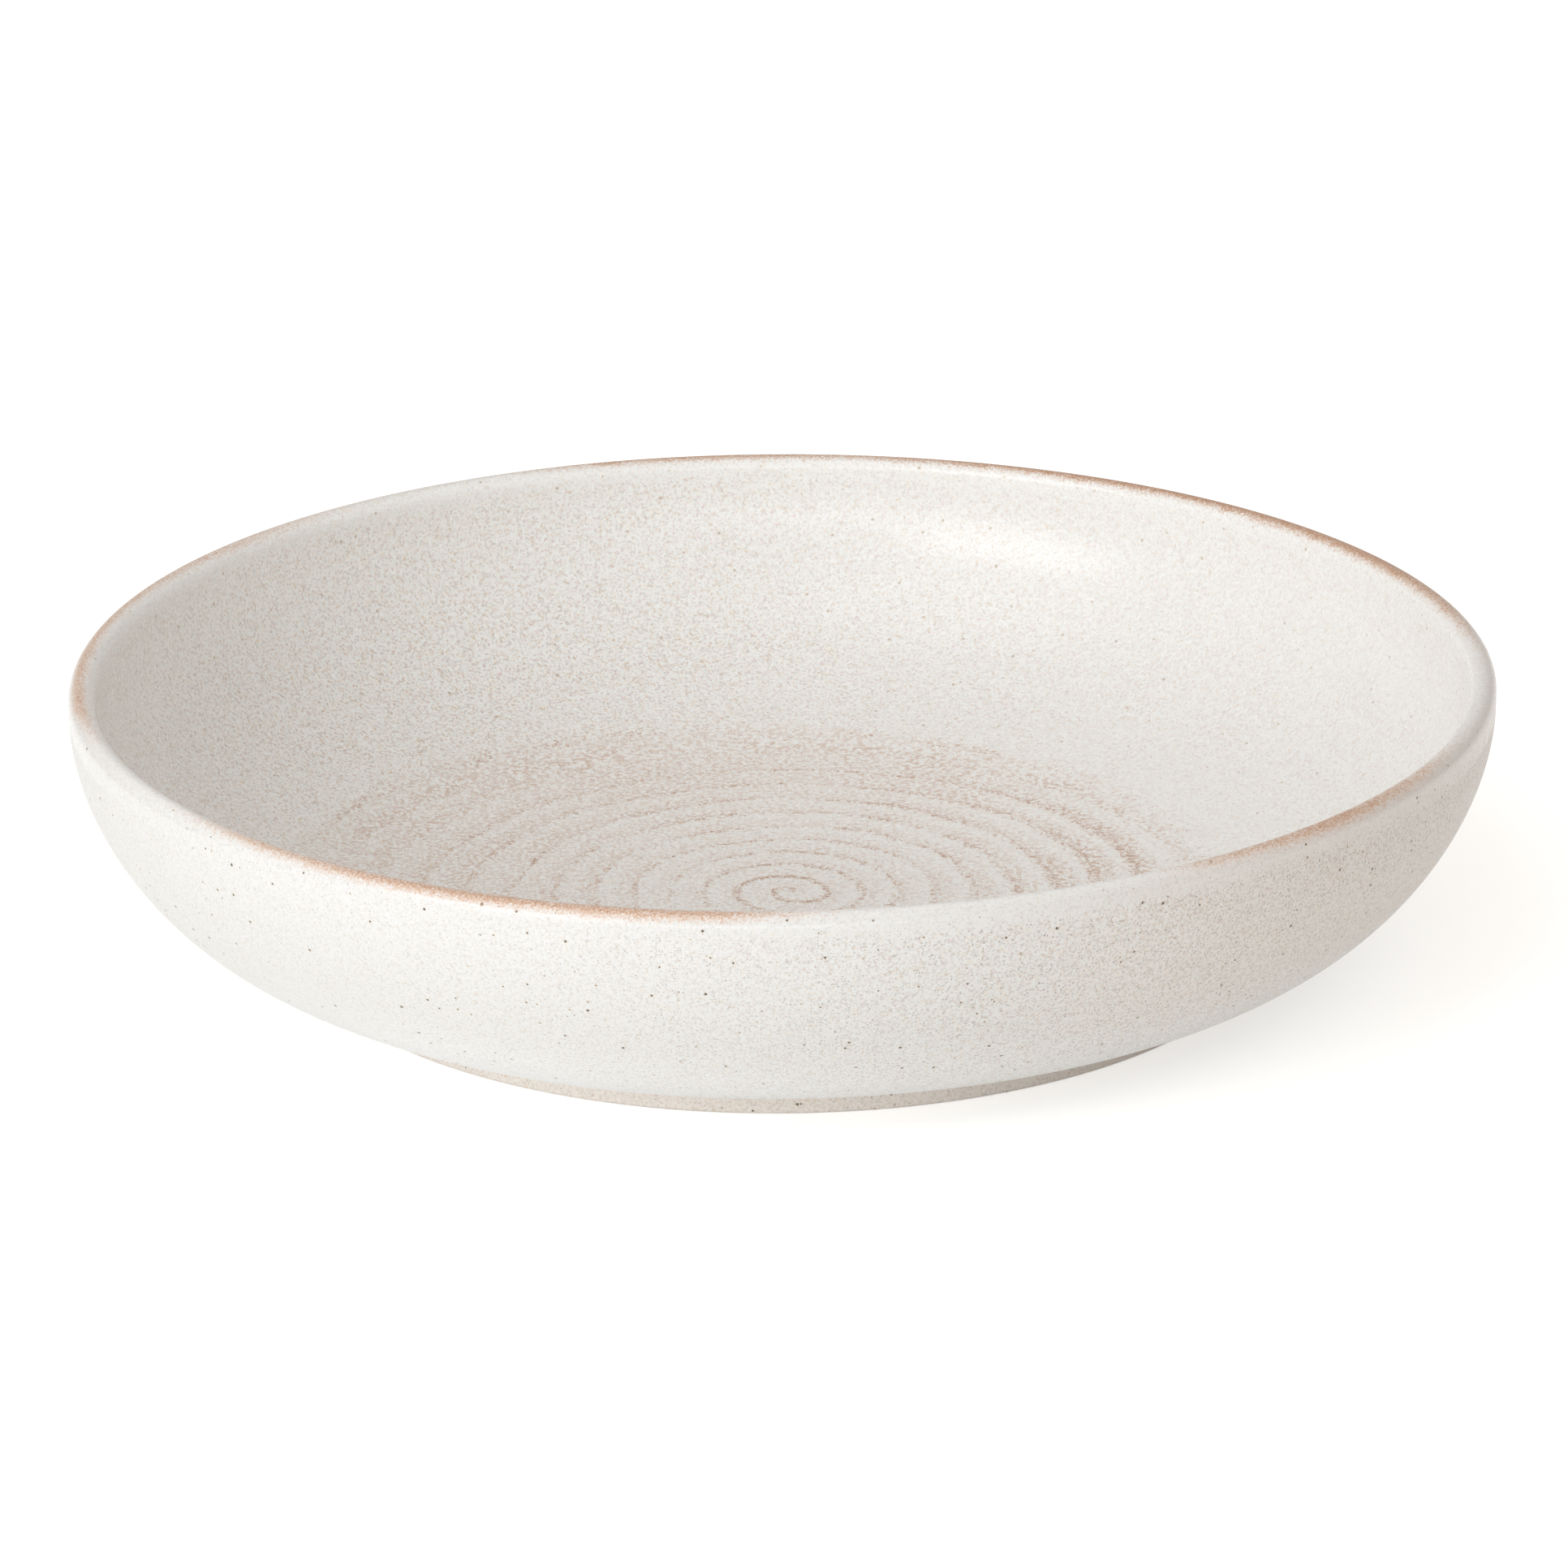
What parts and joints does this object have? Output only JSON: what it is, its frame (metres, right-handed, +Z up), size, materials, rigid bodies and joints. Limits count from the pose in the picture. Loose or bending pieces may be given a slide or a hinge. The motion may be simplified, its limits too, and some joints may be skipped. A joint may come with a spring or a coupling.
{
  "type": "salad bowl",
  "caption": "Shallow round stoneware salad bowl with a turned foot ring, a speckled pale glaze, a brown-breaking rim band and a raised throwing spiral on its flat floor.",
  "frame": {"origin": "middle of the foot ring, on the table", "axes": "+Z up along the bowl's axis; -Y towards the side that the picture shows nearest"},
  "size_m": [0.33, 0.33, 0.066],
  "materials": {
    "stoneware": "matte",
    "glaze": "satin",
    "rim_glaze": "satin",
    "spiral_clay": "satin"
  },
  "bodies": {
    "root": {"stoneware_body": "stoneware", "inner_glaze": "glaze", "outer_glaze": "glaze", "rim_glaze": "rim_glaze", "base_glaze": "glaze", "throwing_spiral": "spiral_clay"}
  },
  "joints": []
}
